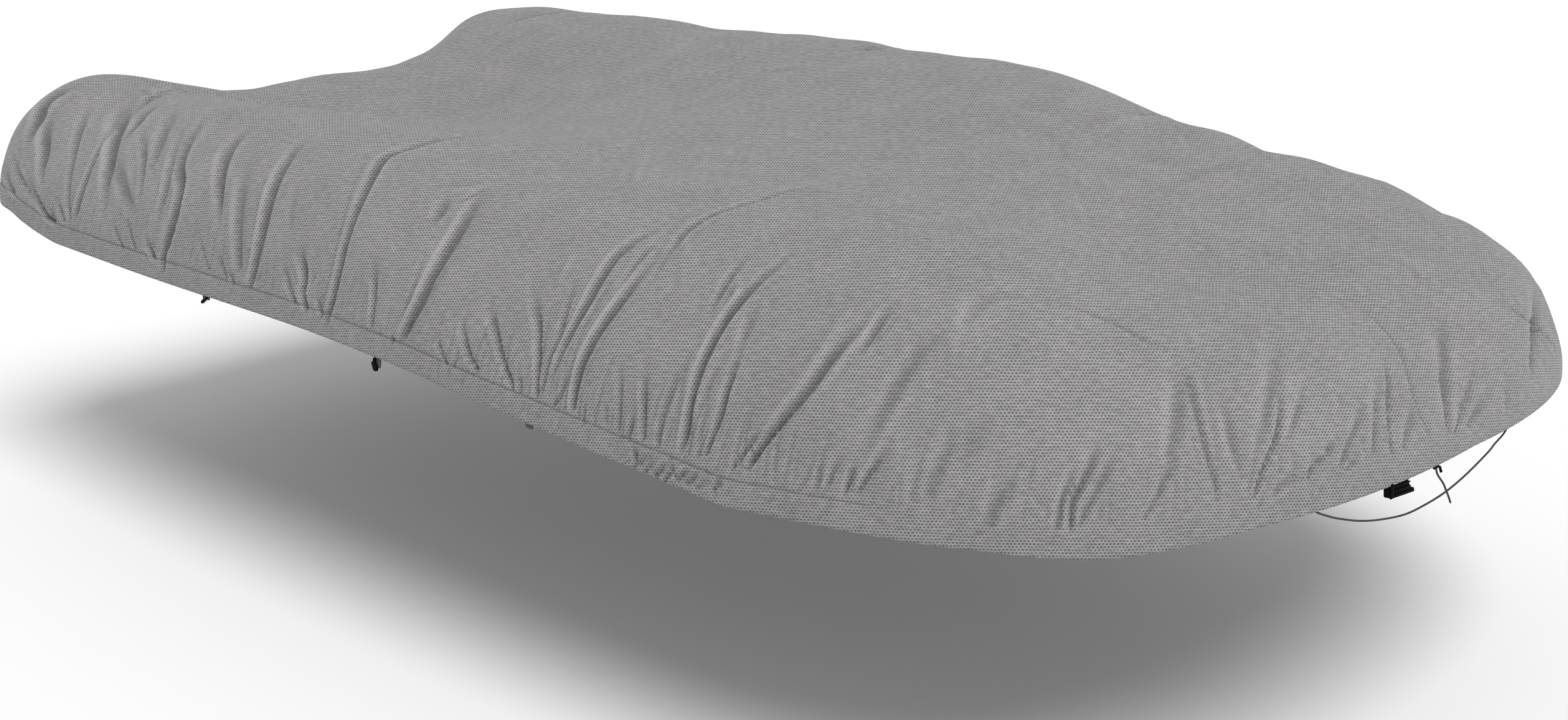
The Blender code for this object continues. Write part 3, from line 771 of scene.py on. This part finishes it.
def cloth_mesh():
    """The whole cloth: its points, faces, the painted shade and highlight of the creases and the
    seam at each point, and its outer face's points and where their rows start. The outer face is
    fine, the inner one coarser, and they meet in a rounded edge."""
    points, faces, up, starts, steps = cloth_grid()
    normals = corner_normals(points, faces)
    push, painted_shading = all_pushes(points, normals, up)
    seam = seam_depth(points, up)
    push -= SEAM_DEPTH * seam
    # Painted shade in the stitching's groove.
    painted_shading += SEAM_SHADE * seam
    outer = points + normals * push[:, None]
    ring = starts[1]
    inner = inner_grid(push, starts, steps)
    edge_in = normals[:ring] * [1, 1, 0]
    edge_in /= norm(edge_in, axis=1)[:, None]
    edge = outer[:ring] - edge_in * CLOTH / 2 - (0, 0, CLOTH * EDGE_DROP)
    parts = [outer, edge]
    for picked, low in inner:
        parts.append(points[picked] + normals[picked] * (low - CLOTH)[:, None])
    parts.append(outer[starts[-1] :] - (0, 0, CLOTH))
    edge_start = len(outer)
    inner_start = edge_start + ring
    around = ring // COARSE_STEP
    faces += band(edge_start, 0, ring)
    for j in range(around):
        k = (j + 1) % around
        fine = range(COARSE_STEP * (j + 1), COARSE_STEP * j - 1, -1)
        above = [edge_start + m % ring for m in fine]
        faces.append((inner_start + j, inner_start + k, *above))
    for r in range(len(inner) - 1):
        low = inner_start + r * around
        faces += band(low + around, low, around)
    last_outer, last_inner = starts[-2], inner_start + (len(inner) - 1) * around
    closing = [face for face in faces if min(face) >= last_outer and max(face) < len(outer)]
    for face in closing:
        faces.append(tuple(k - last_outer + last_inner for k in reversed(face)))
    whole = np.vstack(parts)
    # depth here holds each point's painted shade and highlight, from the creases and the seam's
    # groove.
    depth = np.zeros(len(whole))
    depth[: len(outer)] = painted_shading
    return whole, faces, depth, outer, starts


def linked(name, data):
    """A new object in the scene."""
    made = bpy.data.objects.new(name, data)
    bpy.context.collection.objects.link(made)
    return made


def add_object(name, points, faces, finish):
    mesh = bpy.data.meshes.new(name)
    mesh.from_pydata([tuple(p) for p in points], [], faces)
    mesh.shade_smooth()
    mesh.materials.append(finish)
    return linked(name, mesh)


def build_cloth(finish):
    """The cloth, with each point's painted shade and highlight from the creases and the seam kept
    for its material.
    """
    points, faces, depth, outer, starts = cloth_mesh()
    cloth = add_object("cover_cloth", points, faces, finish)
    # depth is each point's painted shade and highlight, not a crease's depth.
    layer = cloth.data.attributes.new("painted_shading", "FLOAT", "POINT")
    layer.data.foreach_set("value", depth.astype(np.float32))
    return cloth, outer, starts


def tube_faces(first, rings, sides):
    """The faces of a closed tube, whose rings of points begin at the index first."""
    faces = []
    last = first + (rings - 1) * sides
    for low in range(first, last, sides):
        faces += band(low, low + sides, sides)
    faces.append(tuple(first + k for k in reversed(range(sides))))
    faces.append(tuple(last + k for k in range(sides)))
    return faces


# ---- stitches

STITCH_LENGTH = 0.0042
STITCH_PITCH = 0.0065
STITCH_THICKNESS = 0.0010
STITCHED_TO = 0.95
# A stitch's rings (place along it, size, lift) and its section (up, out), in shares of
# its length and thickness.
STITCH_RINGS = ((-0.5, 0.35, -0.3), (-0.3, 1, 0.35), (0.3, 1, 0.35), (0.5, 0.35, -0.3))
STITCH_SECTION = ((0.5, 0), (0.25, 0.45), (-0.25, 0.45), (-0.5, 0))


def build_stitches(outer, starts, finish):
    """The row of stitches that holds the hem, each a small rounded dash."""
    row = HEM_ROWS.index(STITCH_UP * 1000)
    ring = outer[starts[row] : starts[row + 1]]
    below = outer[starts[row - 1] : starts[row]]
    above = outer[starts[row + 1] : starts[row + 2]]
    closed = np.vstack([ring, ring[:1]])
    runs = distances(closed)
    rise = above - below
    rise /= norm(rise, axis=1)[:, None]
    rise = np.vstack([rise, rise[:1]])
    points, faces = [], []
    count = int(runs[-1] / STITCH_PITCH)
    for n in range(count):
        at = (n + 0.5) * runs[-1] / count
        if np.interp(at, runs, closed[:, 0]) > STITCHED_TO:
            continue
        places = [at + STITCH_LENGTH * place for place, _, _ in STITCH_RINGS]
        line = along_line(places, runs, closed)
        up = along_line(at, runs, rise)
        run = line[-1] - line[0]
        out = np.cross(run, up)
        out /= norm(out)
        first = len(points)
        for centre, (_, size, lift) in zip(line, STITCH_RINGS):
            middle = centre + out * STITCH_THICKNESS * lift
            for a, b in STITCH_SECTION:
                points.append(middle + (up * a + out * b) * STITCH_THICKNESS * size)
        faces += tube_faces(first, len(STITCH_RINGS), len(STITCH_SECTION))
    return add_object("hem_stitching", points, faces, finish)


# ---- buckle

# The buckle's raised bars: across and down from the hem's edge at one end and at the
# other, thickness. A bar's rings shrink to round its ends.
BUCKLE_ALONG = 3.883
BUCKLE_REACH = 0.005
BUCKLE_BARS = (
    (-0.0205, 0.001, -0.0205, 0.0175, 0.0070),
    (-0.0130, 0.004, 0.0215, 0.0040, 0.0026),
    (-0.0130, 0.0105, 0.0230, 0.0105, 0.0026),
    (-0.0130, 0.0175, 0.0310, 0.0195, 0.0046),
)
BAR_SIDES = 8
BAR_RINGS = (-0.5, -0.43, -0.25, 0.25, 0.43, 0.5)
BAR_ROUNDED = 0.25
BAR_TIP = 0.01
BAR_HEIGHT = 0.7


def build_buckle_bars(finish):
    """The ear, the two ribs and the lip on the buckle's face, as rounded bars."""
    near = on_cloth(BUCKLE_ALONG + BUCKLE_REACH * np.array([-1, 0, 1]), np.zeros(3))
    run = (near[2] - near[0]) * [1, 1, 0]
    run /= norm(run)
    out = np.cross(run, [0, 0, 1])
    buckle = bpy.data.objects["bow_buckle"]
    corners = np.array([tuple(buckle.matrix_world @ v.co) for v in buckle.data.vertices])
    face = (corners @ out).max() - near[1] @ out
    points, faces = [], []
    for across, down, across_end, down_end, thickness in BUCKLE_BARS:
        start = near[1] + run * across - [0, 0, down] + out * face
        end = near[1] + run * across_end - [0, 0, down_end] + out * face
        way = (end - start) / norm(end - start)
        side = np.cross(out, way)
        first = len(points)
        for share in BAR_RINGS:
            past = abs(share) - BAR_ROUNDED
            size = math.sqrt(max(1 - (past / BAR_ROUNDED) ** 2, BAR_TIP)) / 2
            middle = (start if share < 0 else end) + way * thickness * past * 2 * np.sign(share)
            for k in range(BAR_SIDES):
                turn = TURN * k / BAR_SIDES
                around = side * math.cos(turn) + out * BAR_HEIGHT * math.sin(turn)
                points.append(middle + around * thickness * size)
        faces += tube_faces(first, len(BAR_RINGS), BAR_SIDES)
    bars = add_object("buckle_bars", points, faces, finish)
    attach(bars, "root")


# ---- materials

# The weave's own directions on the cloth, its columns' pitch, and its rows' pitch on the
# walls and on flat cloth. The columns turn where the cloth faces across by more than
# the first share, and the rows lie down where it faces up by more than the second.
WEAVE_ACROSS = (0.7388, 0.6739, 0.0)
WEAVE_UP = (-0.1988, 0.2179, 0.9555)
WEAVE_ALONG = (-0.6739, 0.7388, 0.0)
WEAVE_PITCH = 0.0050
WEAVE_ROW = 0.0040
WEAVE_FLAT_ROW = 0.0137
WEAVE_TURNS = 0.82
WEAVE_LIES = 0.962
# How far the threads wander, a dark line between the rows, thick places that are long
# along the thread, and larger patches.
WANDER_SCALE = 90.0
WANDER = 0.14
ROW_LINE = -0.65
SLUB_STRETCH = 0.35
SLUB_SCALE = 1.1
PATCH_SCALE = 14.0
# How much the weave, the threads' thick places, the patches and the painted shade and highlight
# of the creases and the seam each change the cloth from dark to light.
WEAVE_SHARE = 0.46
SLUB_SHARE = 0.46
PATCH_SHARE = 0.14
PAINTED_SHADING_SHARE = -0.66
WEAVE_HEIGHT = 0.00045
WEAVE_BUMP = 0.8

WEBBING_RIB = 0.0016
WEBBING_TWILL = 0.0022
BRAID_PITCH = 0.0030
BRAID_SLANT = 4.5
PLY_PITCH = 0.0009

# Each material's dark and light colour.
CLOTH_COLOURS = ((0.088, 0.085, 0.0865), (0.312, 0.302, 0.307))
WEBBING_COLOURS = ((0.030, 0.030, 0.031), (0.110, 0.108, 0.106))
# The plastic's colours are black plastic made darker still, as painted shade for the shade under
# the hem.
PLASTIC_AND_PAINTED_SHADE_COLOURS = ((0.0015, 0.0015, 0.0015), (0.006, 0.006, 0.0065))
CORD_COLOURS = ((0.012, 0.012, 0.013), (0.062, 0.061, 0.060))
THREAD_COLOURS = ((0.085, 0.083, 0.084), (0.170, 0.166, 0.167))
FLOOR_COLOURS = ((0.8471, 0.8471, 0.8471), (0.86, 0.86, 0.86))


class Finish:
    """A material, its shader, and short ways to add nodes to it."""

    def __init__(self, name, **fixed):
        self.material = bpy.data.materials.new(name)
        self.material.use_nodes = True
        self.tree = self.material.node_tree
        self.shader = self.tree.nodes["Principled BSDF"]
        for socket, value in fixed.items():
            self.shader.inputs[socket.replace("_", " ")].default_value = value

    def node(self, kind, values=(), **settings):
        made = self.tree.nodes.new("ShaderNode" + kind)
        for setting, value in settings.items():
            setattr(made, setting, value)
        for socket, value in dict(values).items():
            self.put(made.inputs[socket], value)
        return made

    def put(self, socket, value):
        if isinstance(value, bpy.types.NodeSocket):
            self.tree.links.new(value, socket)
        else:
            socket.default_value = value

    def math(self, operation, first, second=0.0, third=0.0):
        values = {0: first, 1: second, 2: third}
        return self.node("Math", values, operation=operation).outputs[0]

    def place(self):
        return self.node("TexCoord").outputs["Object"]

    def dot(self, first, second):
        values = {0: first, 1: second}
        return self.node("VectorMath", values, operation="DOT_PRODUCT").outputs["Value"]

    def length_along(self, direction, pitch):
        """How many pitches a point lies along a direction."""
        return self.dot(self.place(), [part / pitch for part in direction])

    def noise(self, scale, detail=2.0):
        """Noise from -1 to 1."""
        values = {"Vector": self.place(), "Scale": scale, "Detail": detail}
        made = self.node("TexNoise", values).outputs["Fac"]
        return self.math("MULTIPLY_ADD", made, 2.0, -1.0)

    def colour(self, dark, light, start, *parts):
        """Colour the material from dark, 0, to light, 1, by a number and other values,
        each times its weight."""
        for value, weight in parts:
            start = self.math("MULTIPLY_ADD", value, weight, start)
        values = {0: start, 6: (*dark, 1), 7: (*light, 1)}
        mixed = self.node("Mix", values, data_type="RGBA").outputs[2]
        self.put(self.shader.inputs["Base Color"], mixed)

    def bump(self, height, distance, strength=1.0):
        values = {"Height": height, "Distance": distance, "Strength": strength}
        made = self.node("Bump", values).outputs["Normal"]
        self.put(self.shader.inputs["Normal"], made)


def cloth_finish():
    """A coarse grey polyester weave: threads cross like bricks, each crossing a dark dot with a
    light one beside it, with painted shade in the creases and the seam's groove and painted
    highlight on the creases' ridges."""
    finish = Finish("cover_cloth", Roughness=0.86, Sheen_Weight=0.12, Sheen_Roughness=0.6)
    wander = finish.math("MULTIPLY", finish.noise(WANDER_SCALE, 0.0), WANDER)
    across = finish.length_along(WEAVE_ACROSS, WEAVE_PITCH)
    along = finish.length_along(WEAVE_ALONG, WEAVE_PITCH)
    normal = finish.node("NewGeometry").outputs["Normal"]
    facing = finish.math("ABSOLUTE", finish.dot(normal, WEAVE_ACROSS))
    turned = finish.math("GREATER_THAN", facing, WEAVE_TURNS)
    column = finish.node("Mix", {0: turned, 2: across, 3: along}).outputs[0]
    column = finish.math("ADD", column, wander)
    flat = finish.math("GREATER_THAN", finish.dot(normal, WEAVE_UP), WEAVE_LIES)
    upright = finish.length_along(WEAVE_UP, WEAVE_ROW)
    lying = finish.length_along(WEAVE_ALONG, WEAVE_FLAT_ROW)
    row = finish.node("Mix", {0: flat, 2: upright, 3: lying}).outputs[0]
    row = finish.math("ADD", row, wander)
    wave = finish.math("COSINE", finish.math("MULTIPLY", column, TURN))
    rise = finish.math("COSINE", finish.math("MULTIPLY", row, math.pi))
    crossing = finish.math("MULTIPLY", wave, rise)
    line = finish.math("COSINE", finish.math("MULTIPLY", row, TURN))
    weave = finish.math("MULTIPLY_ADD", line, ROW_LINE, crossing)
    slow = finish.math("MULTIPLY", column, SLUB_STRETCH)
    stretched = finish.node("CombineXYZ", {0: slow, 1: row}).outputs[0]
    slub = finish.node("TexNoise", {0: stretched, "Scale": SLUB_SCALE, "Detail": 1.0})
    thread = finish.math("MULTIPLY_ADD", slub.outputs["Fac"], 2.0, -1.0)
    patchy = finish.noise(PATCH_SCALE, 1.0)
    # Painted shade in the creases' valleys and the seam's groove, and painted highlight on the
    # creases' ridges, kept on the cloth's points.
    painted_shading = finish.node("Attribute", attribute_name="painted_shading").outputs["Fac"]
    painted_shading = finish.math("MINIMUM", painted_shading, 1.0)
    weaving = ((weave, WEAVE_SHARE), (thread, SLUB_SHARE))
    finish.colour(*CLOTH_COLOURS, 0.5, *weaving, (patchy, PATCH_SHARE), (painted_shading, PAINTED_SHADING_SHARE))
    finish.bump(weave, WEAVE_HEIGHT, WEAVE_BUMP)
    return finish.material


def webbing_finish():
    """Dark webbing: ribs across it and the twill of its threads."""
    finish = Finish("webbing_weave", Roughness=0.78, Sheen_Weight=0.1)
    rib = finish.math("SINE", finish.length_along((0, 0, TURN), WEBBING_RIB))
    across = finish.length_along((TURN, 0, TURN), WEBBING_TWILL)
    twill = finish.math("MULTIPLY", rib, finish.math("SINE", across))
    worn = finish.noise(160.0, 3.0)
    finish.colour(*WEBBING_COLOURS, 0.42, (twill, 0.30), (worn, 0.22))
    finish.bump(twill, 0.0002)
    return finish.material


def plastic_finish():
    """Moulded black plastic, darkened further as painted shade, with a fine grain and worn,
    slightly lighter patches.
    """
    finish = Finish("moulded_plastic", Specular_IOR_Level=0.03)
    grain = finish.noise(1500.0, 2.0)
    worn = finish.noise(120.0, 3.0)
    finish.colour(*PLASTIC_AND_PAINTED_SHADE_COLOURS, 0.4, (worn, 0.5))
    rough = finish.math("MULTIPLY_ADD", worn, 0.08, 0.44)
    finish.put(finish.shader.inputs["Roughness"], rough)
    finish.bump(grain, 0.00006)
    return finish.material


def cord_finish():
    """A braided cord: two sets of strands that cross on the slant."""
    finish = Finish("braided_cord", Roughness=0.8)
    run = (1.0, TURN)
    one = finish.math("SINE", finish.length_along((*run, BRAID_SLANT), BRAID_PITCH))
    two = finish.math("SINE", finish.length_along((*run, -BRAID_SLANT), BRAID_PITCH))
    braid = finish.math("MULTIPLY", one, two)
    finish.colour(*CORD_COLOURS, 0.48, (braid, 0.38), (finish.noise(200.0), 0.2))
    finish.bump(braid, 0.0002)
    return finish.material


def thread_finish():
    """Grey sewing thread with its ply."""
    finish = Finish("sewing_thread", Roughness=0.7)
    ply = finish.math("SINE", finish.length_along((TURN, 3.0, 3.0), PLY_PITCH))
    finish.colour(*THREAD_COLOURS, 0.5, (ply, 0.3), (finish.noise(60.0), 0.25))
    finish.bump(ply, 0.0001)
    return finish.material


def floor_finish():
    """A plain pale floor."""
    finish = Finish("floor", Roughness=0.9)
    finish.colour(*FLOOR_COLOURS, 0.5, (finish.noise(0.4), 0.5))
    return finish.material


# ---- cords


def smooth_line(route, step):
    """Evenly spaced points on a smooth curve through a route's own points."""
    points = with_ends(np.array(route))
    fine = []
    for k in range(len(points) - 3):
        for t in np.linspace(0, 1, ROUTE_STEPS, endpoint=False):
            fine.append(between(*points[k : k + 4], t))
    fine = np.array(fine + [route[-1]])
    runs = distances(fine)
    even = np.linspace(0, runs[-1], max(int(round(runs[-1] / step)), 2) + 1)
    return along_line(even, runs, fine), runs[-1]


def build_cord(name, route, node, finish):
    points, length = smooth_line(route, CORD_STEP)
    curve = bpy.data.curves.new(name, "CURVE")
    curve.dimensions = "3D"
    curve.bevel_depth = CORD_THICKNESS / 2
    curve.bevel_resolution = 3
    curve.use_fill_caps = True
    line = curve.splines.new("POLY")
    line.points.add(len(points) - 1)
    for point, place_at in zip(line.points, points):
        point.co = (*place_at, 1)
    line.use_smooth = True
    curve.materials.append(finish)
    made = linked(name, curve)
    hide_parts(node)
    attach(made, "root")


# ---- room and camera

FLOOR_SIZE = 90.0
FLOOR_HEIGHT = -0.78
# The sky, which is white at the horizon and dims over a range of heights.
SKY_LIGHT = 0.53
LOW_SKY = (0.05, 0.25)
KEY_FROM = (0.50, -0.25, 0.83)
KEY_SPREAD = math.radians(32)
KEY_STRENGTH = 2.55


def build_room():
    corners = ((-0.5, -0.5), (0.5, -0.5), (0.5, 0.5), (-0.5, 0.5))
    points = [(FLOOR_SIZE * a, FLOOR_SIZE * b, FLOOR_HEIGHT) for a, b in corners]
    floor = add_object("floor", points, [(0, 1, 2, 3)], floor_finish())
    world = bpy.data.worlds.new("studio")
    world.use_nodes = True
    tree = world.node_tree
    sky = tree.nodes["Background"]
    place = tree.nodes.new("ShaderNodeTexCoord").outputs["Generated"]
    split = tree.nodes.new("ShaderNodeSeparateXYZ")
    tree.links.new(place, split.inputs[0])
    fade = tree.nodes.new("ShaderNodeMapRange")
    fade.interpolation_type = "SMOOTHSTEP"
    tree.links.new(split.outputs["Z"], fade.inputs["Value"])
    sockets = ("From Min", "From Max", "To Min", "To Max")
    for socket, value in zip(sockets, (*LOW_SKY, 1.0, SKY_LIGHT)):
        fade.inputs[socket].default_value = value
    sky.inputs["Color"].default_value = (1, 1, 1, 1)
    tree.links.new(fade.outputs["Result"], sky.inputs["Strength"])
    bpy.context.scene.world = world
    light = bpy.data.lights.new("key", "SUN")
    light.angle = KEY_SPREAD
    light.energy = KEY_STRENGTH
    key = linked("key", light)
    key.rotation_euler = (-Vector(KEY_FROM)).to_track_quat("-Z", "Y").to_euler()
    bpy.context.scene.view_settings.view_transform = "Standard"


def build_camera():
    lens = bpy.data.cameras.new("camera")
    lens.lens = CAMERA_LENS
    lens.sensor_width = SENSOR_WIDTH
    camera = linked("camera", lens)
    camera.location = CAMERA_PLACE
    camera.rotation_euler = (CAMERA_TILT, 0, CAMERA_TURN)
    bpy.context.scene.camera = camera


# ---- the whole cover

HEM_TURN = 0.040
WEBBING_NODES = ("tab", "strap")
PLASTIC_NODES = ("hook", "buckle", "elbow")


def flat_size():
    """The width, length and area of the cloth before it was sewn and laid over."""
    ring = ring_columns()
    points, heights, _ = columns_of(ring)
    total = heights[-1]
    amidships = np.abs(ring - HALF_ROUND / 2).argmin()
    bow_tip = np.abs(ring - HALF_ROUND).argmin()
    width = 2 * (total[amidships] + HEM_TURN)
    length = total[0] + total[bow_tip] + MIDDLE_END - MIDDLE_START + 2 * HEM_TURN
    rises = norm(np.diff(points, axis=0), axis=2)
    widths = norm(np.roll(points, -1, axis=1) - points, axis=2)
    strips = rises * (widths[1:] + widths[:-1]) / 2
    return width, length, strips.sum() + 2 * HALF_ROUND * HEM_TURN


def finish_nodes(kinds, finish):
    """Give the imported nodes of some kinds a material."""
    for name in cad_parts:
        if any(kind in name for kind in kinds):
            for slot in bpy.data.objects[name].material_slots:
                slot.material = finish


def main():
    build_camera()
    cord = cord_finish()
    build_cord("drawcord", CORD_ROUTE, "hem_cord", cord)
    build_cord("drawcord_tail", TAIL_ROUTE, "cord_tail", cord)
    cloth, outer, starts = build_cloth(cloth_finish())
    stitches = build_stitches(outer, starts, thread_finish())
    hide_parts("cover")
    for piece in (cloth, stitches):
        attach(piece, "root")
    width, length, area = flat_size()
    webbing, plastic = webbing_finish(), plastic_finish()
    build_buckle_bars(plastic)
    finish_nodes(WEBBING_NODES, webbing)
    finish_nodes(PLASTIC_NODES, plastic)
    build_room()


main()
